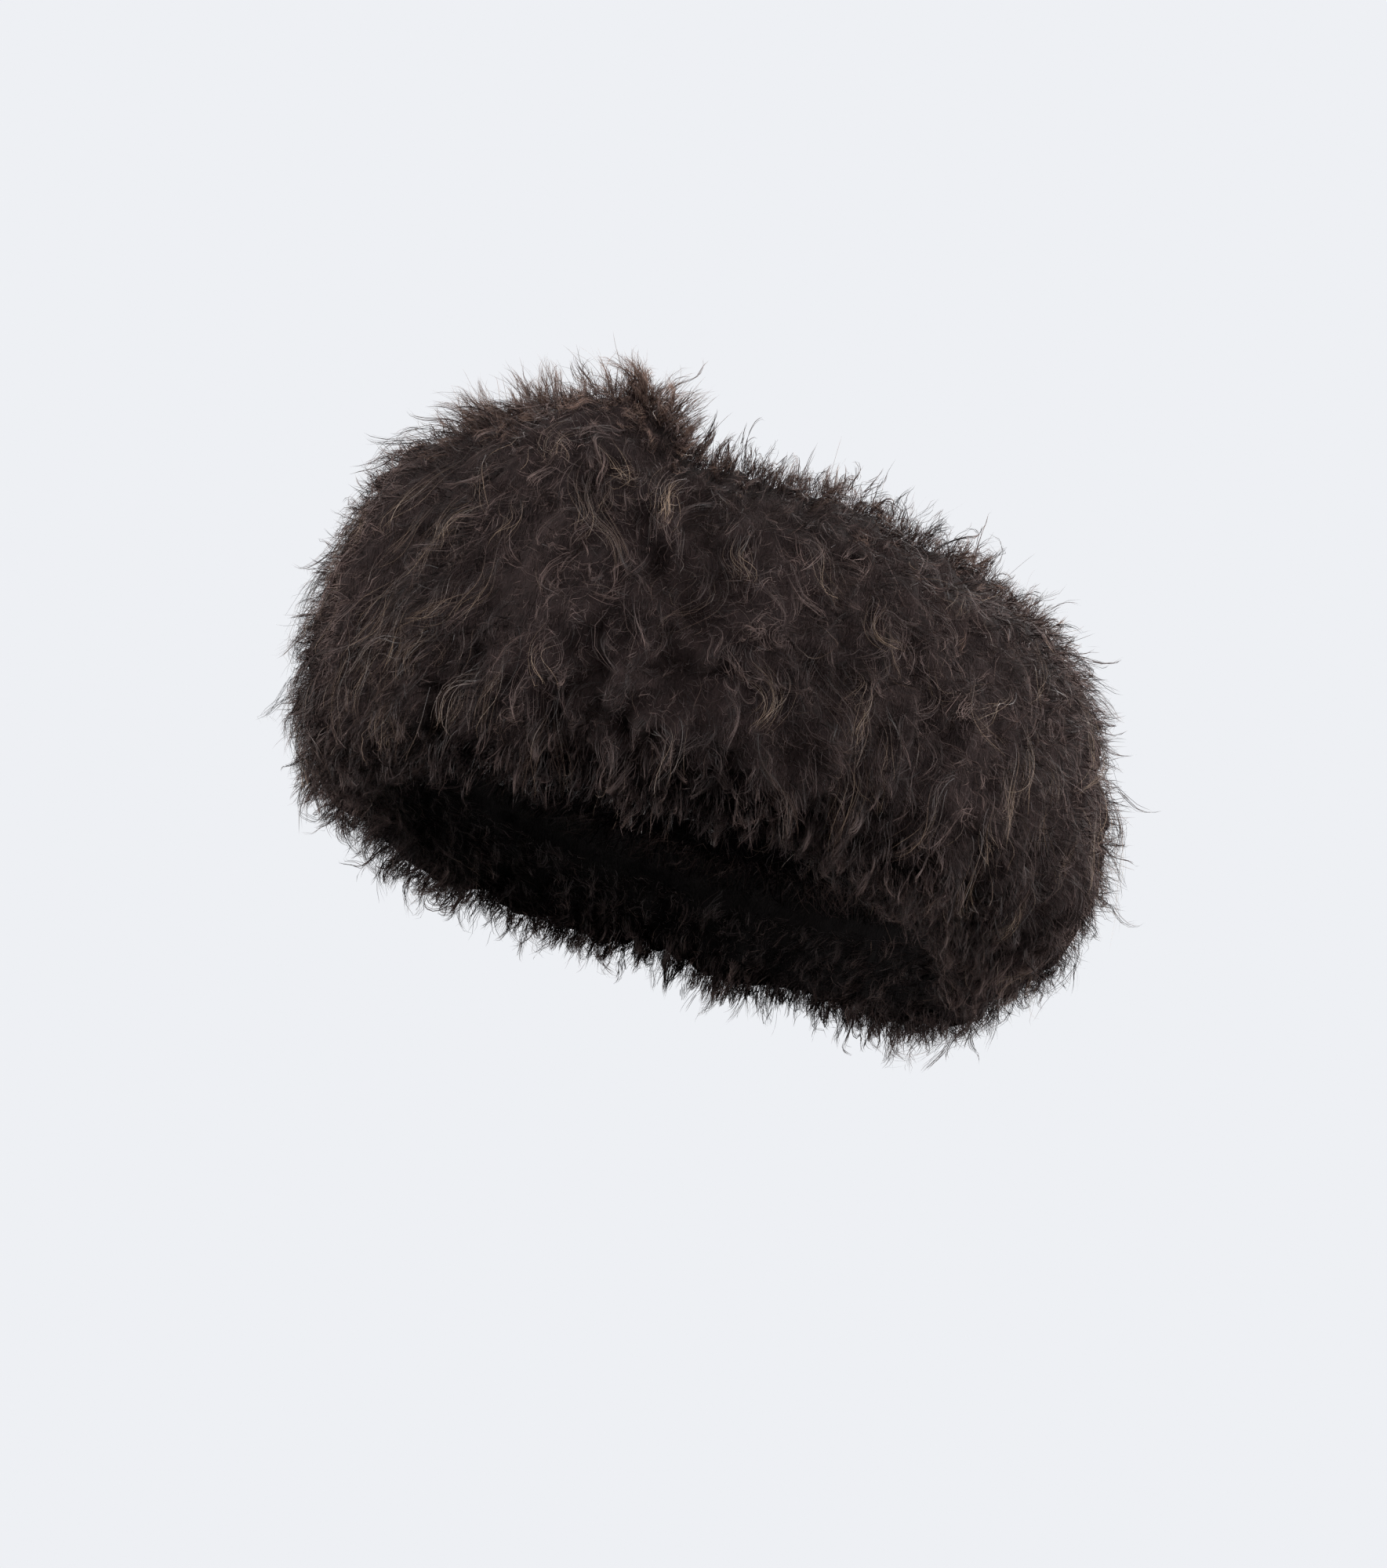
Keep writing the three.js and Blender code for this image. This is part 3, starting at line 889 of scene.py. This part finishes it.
# short loose fibres all over
fuzz = dict(
    anyCoat, name="fuzz", pieces=2, fibres=36000, rims=0.15, steps=3,
    even=0.0055, length=0.05, root=(-0.001, 0.001),
    stray=1.1, wave=0.6, turns=0.8, curl=0.9, upright=0.85, uprightSpread=0.35,
    tone=0.44, toneSpread=0.16, thick=0.00018,
)
addCoat(fuzz, lumps, fibreWool)

# locks that stand down from the lower rim
fringe = dict(
    anyCoat, name="fringe", locks=420, rims=1.0, rimLevels=(-84.0, -84.0), rimSpread=20.0,
    fibres=10500, steps=4,
    even=0.0080, size=(0.4, 1.7), width=(0.0016, 0.0048),
    lockTurn=0.8, wave=0.5, turns=0.8, curl=2.4, uprightSpread=0.28,
    begin=0.4, gather=0.80, wander=0.0005, proud=-0.001,
    # tone: paler than the fleece's, painted light where light shines through the rim's fibres from below and
    # behind
    tone=0.66, lockTone=0.10, toneSpread=0.10, thick=0.00018,
)
addCoat(fringe, lumps, fibreWool)

# longer locks over the lower rim, more of them at the wearer's left
tails = dict(
    anyCoat, name="tails", locks=70, rims=1.0, rimLevels=(-66.0, -66.0), rimSpread=14.0,
    inSpots=0.3, spots=(104.0, 113.0, 122.0), fibres=3000, steps=5,
    even=0.0105, size=(0.6, 1.35), width=(0.0025, 0.0060),
    lockTurn=0.5, wave=0.45, turns=0.8, curl=0.9, uprightSpread=0.30,
    begin=0.5, gather=0.75, wander=0.0009,
    tone=0.60, lockTone=0.10, toneSpread=0.12, thick=0.00018,
)
addCoat(tails, lumps, fibreWool)

# locks that stand up from the upper rim, more of them about the tuft
crest = dict(
    anyCoat, name="crest", locks=760, rims=1.0, rimLevels=(84.0, 84.0), rimSpread=20.0,
    inSpots=0.25, spots=(-22.0, -4.0, 12.0), spotSpread=8.0,
    fibres=14000, steps=4,
    even=0.0085, size=(0.4, 1.5), width=(0.0016, 0.0048),
    lockTurn=0.8, wave=0.4, turns=0.8, curl=1.0, uprightSpread=0.32,
    begin=0.4, gather=0.45, wander=0.0009, proud=-0.001,
    # tone: paler than the fleece's, painted light where light shines through the crest's fibres
    tone=0.62, lockTone=0.10, toneSpread=0.14, thick=0.00015,
)
addCoat(crest, lumps, crestLitWool)

# long loose locks of the tuft, and a few along the rest of the crest
plumes = dict(
    anyCoat, name="plumes", locks=110, rims=1.0, rimLevels=(78.0, 78.0), rimSpread=8.0, inSpots=0.65,
    fibres=5000, steps=5,
    even=0.0170, size=(0.45, 1.2), width=(0.003, 0.007),
    lockTurn=0.5, wave=0.25, turns=0.9, curl=0.5, uprightSpread=0.20,
    begin=0.5, gather=0.35, wander=0.0009, proud=-0.002,
    tone=0.50, lockTone=0.08, toneSpread=0.14, thick=0.00014,
)
addCoat(plumes, lumps, crestLitWool)

# long tan strands that lie over the locks
wisps = dict(
    anyCoat, name="wisps", locks=200, between=(0.25, 0.72), inSpots=0.2, spots=(-12.0, -2.0, 44.0),
    stations=17, fibres=2200, steps=10,
    even=0.0, length=1.05, size=(0.6, 1.25), width=(0.0030, 0.0080),
    lockTurn=0.35, wave=0.6, turns=1.1, curl=0.6, uprightSpread=0.05,
    begin=0.4, gather=0.58, wander=0.0017, proud=0.0042, rise=0.7,
    tone=0.38, lockTone=0.20, toneSpread=0.24, thick=0.00011,
)
addCoat(wisps, skin, wispWool)

# thin locks that end in a curl
curls = dict(
    anyCoat, name="curls", locks=200, between=(0.2, 0.8), rims=0.6, rimSpread=14.0,
    stations=25, fibres=1200, steps=12,
    even=0.0165, size=(0.6, 1.15), width=(0.0004, 0.0010),
    lockTurn=0.8, wave=0.25, turns=0.8, curl=5.5, upright=0.50, uprightSpread=0.2,
    begin=0.1, gather=0.6, wander=0.0003, proud=0.0010,
    tone=0.42, lockTone=0.10, toneSpread=0.12, thick=0.00024,
)
addCoat(curls, lumps, fibreWool)

# single long fibres that stand clear
flyaways = dict(
    anyCoat, name="flyaways", fibres=600, rims=0.2, steps=8,
    even=0.008, length=0.20, root=(0.0, 0.004),
    stray=0.6, wave=0.5, turns=0.9, curl=0.8, upright=0.25, uprightSpread=0.25,
    tone=0.35, toneSpread=0.15, thick=0.00013,
)
addCoat(flyaways, lumps, wispWool)

# brown wool just inside the lower rim
brim = dict(
    anyCoat, name="brim", fibres=2600, between=(0.84, 1.0), steps=3,
    even=0.010, root=(0.0, 0.0005),
    stray=0.8, wave=0.7, turns=0.7, curl=0.8, upright=0.5, uprightSpread=0.25,
    tone=0.52, toneSpread=0.10, thick=0.00022,
)
addCoat(brim, innerFace, fibreWool)

# nap on the loop's inner face, made dark as painted shade
innerNap = dict(
    anyCoat, name="inner_nap", fibres=6500, steps=3,
    even=0.012, root=(0.0, 0.0005),
    stray=0.9, wave=0.7, turns=0.7, curl=0.8, upright=0.5, uprightSpread=0.25,
    tone=0.85, toneSpread=0.10, thick=0.00034,
)
addCoat(innerNap, innerFace, shadedNapWool)

# pointed locks that stand off, most of them at the wearer's right
spikes = dict(
    anyCoat, name="spikes", locks=110, between=(0.25, 0.75),
    inSpots=0.6, spots=(-78.0, -66.0, -54.0), spotSpread=6.0, fibres=1500, steps=5,
    even=0.0150, size=(0.5, 1.3), width=(0.0016, 0.0040),
    lockTurn=0.4, wave=0.35, turns=0.8, curl=0.5, upright=0.50, uprightSpread=0.25,
    begin=0.45, gather=0.9, wander=0.0005,
    tone=0.46, lockTone=0.12, toneSpread=0.12, thick=0.00016,
)
addCoat(spikes, lumps, fibreWool)

# single long fibres, most of them on the tuft
crestHairs = dict(
    anyCoat, name="crest_hairs", fibres=280, rims=1.0, rimLevels=(80.0, 80.0), rimSpread=6.0,
    inSpots=0.75, spotSpread=6.0, steps=8,
    even=0.0145, root=(0.0, 0.001),
    stray=0.5, wave=0.3, turns=0.8, curl=0.6, uprightSpread=0.22,
    tone=0.40, toneSpread=0.16, thick=0.00013,
)
addCoat(crestHairs, lumps, crestLitWool)


# Stage: a pale floor well below, since the band is held up

stage = dict(
    floor=-1.0, floorSize=80.0, floorColor=(0.8, 0.82, 0.85), floorRoughness=0.9, floorGlow=0.78,
    backdrop=(0.855, 0.871, 0.905),
    domeColor=(1.0, 0.98, 0.96), domeStrength=0.38, domeFrom=0.0, domeTo=0.7,
)


# One square far below; it throws no light back up, so the underside of the wool stays dark
def paleFloor():
    half, low = stage["floorSize"] / 2, stage["floor"]
    corners = [(-half, -half, low), (half, -half, low), (half, half, low), (-half, half, low)]
    mesh = bpy.data.meshes.new("floor")
    mesh.from_pydata(corners, [], [(0, 1, 2, 3)])
    floor = newObject("floor", mesh)
    floor.visible_diffuse = False
    floor.visible_glossy = False
    material, _, _, shader = emptyMaterial("pale_floor")
    shader.inputs["Base Color"].default_value = (*stage["floorColor"], 1)
    shader.inputs["Roughness"].default_value = stage["floorRoughness"]
    shader.inputs["Emission Color"].default_value = (*stage["floorColor"], 1)
    shader.inputs["Emission Strength"].default_value = stage["floorGlow"]     # pale as far as the horizon
    mesh.materials.append(material)


# The backdrop is seen even and pale, and a dome lights the wool: its strength goes straight up from nothing
# at the horizon with the height of the way to it
def paleWorld():
    world = bpy.data.worlds.new("studio")
    bpy.context.scene.world = world
    world.use_nodes = True
    nodes, links = world.node_tree.nodes, world.node_tree.links
    seen = nodes["Background"]
    seen.inputs["Color"].default_value = (*stage["backdrop"], 1)
    way = nodes.new("ShaderNodeTexCoord")
    split = nodes.new("ShaderNodeSeparateXYZ")
    links.new(way.outputs["Generated"], split.inputs["Vector"])
    rise = nodes.new("ShaderNodeMapRange")
    rise.inputs["From Min"].default_value = stage["domeFrom"]
    rise.inputs["From Max"].default_value = stage["domeTo"]
    rise.inputs["To Max"].default_value = stage["domeStrength"]
    links.new(split.outputs["Z"], rise.inputs["Value"])
    dome = nodes.new("ShaderNodeBackground")
    dome.inputs["Color"].default_value = (*stage["domeColor"], 1)
    links.new(rise.outputs["Result"], dome.inputs["Strength"])
    path = nodes.new("ShaderNodeLightPath")
    mix = nodes.new("ShaderNodeMixShader")
    links.new(path.outputs["Is Camera Ray"], mix.inputs["Fac"])
    links.new(dome.outputs["Background"], mix.inputs[1])
    links.new(seen.outputs["Background"], mix.inputs[2])
    links.new(mix.outputs["Shader"], nodes["World Output"].inputs["Surface"])


# Camera: from the wearer's left and a little below, rolled as the photograph is
camera = dict(
    azimuth=30.0, elevation=-12.0, roll=17.0, distance=1.6, lens=131.0, clipEnd=100,
    moveRight=-0.0052, moveUp=-0.0180,
)


# Screen axes of the camera: level ones from azimuth and elevation, then turned by the roll
def cameraAxes():
    a, e, r = (math.radians(camera[k]) for k in ("azimuth", "elevation", "roll"))
    back = Vector((math.sin(a) * math.cos(e), -math.cos(a) * math.cos(e), math.sin(e)))
    level = Vector((math.cos(a), math.sin(a), 0))
    upright = back.cross(level)
    right = level * math.cos(r) + upright * math.sin(r)
    up = upright * math.cos(r) - level * math.sin(r)
    return right, up, back


# The camera stands at the distance along its back axis, moved along its right and up axes
def makeCamera():
    right, up, back = cameraAxes()
    data = bpy.data.cameras.new("camera")
    data.lens = camera["lens"]
    data.clip_end = camera["clipEnd"]
    eye = newObject("camera", data)
    place = back * camera["distance"] + right * camera["moveRight"] + up * camera["moveUp"]
    eye.matrix_world = Matrix.Translation(place) @ Matrix((right, up, back)).transposed().to_4x4()
    bpy.context.scene.camera = eye


# lamps are placed from the camera's own right, up and back, in metres
lamps = [
    dict(name="key", right=0.8, up=1.9, back=0.8, size=1.3, watts=46),
    dict(name="rightSide", right=1.8, up=0.0, back=0.6, size=1.0, watts=84),
    dict(name="leftSide", right=-1.7, up=0.4, back=0.6, size=1.0, watts=86),
    dict(name="front", right=0.2, up=0.9, back=1.9, size=1.2, watts=12),
    dict(name="behind", right=0.6, up=1.3, back=-1.4, size=1.2, watts=75),
]


# Square area lamps, each turned so that its face looks at the middle of the loop
def makeLamps():
    right, up, back = cameraAxes()
    for lamp in lamps:
        data = bpy.data.lights.new(lamp["name"], "AREA")
        data.energy = lamp["watts"]
        data.size = lamp["size"]
        light = newObject(lamp["name"], data)
        place = right * lamp["right"] + up * lamp["up"] + back * lamp["back"]
        light.matrix_world = Matrix.Translation(place) @ place.to_track_quat("Z", "Y").to_matrix().to_4x4()


paleFloor()
paleWorld()
makeCamera()
makeLamps()
bpy.context.scene.view_settings.view_transform = "Standard"
print("stage, camera and lamps done")
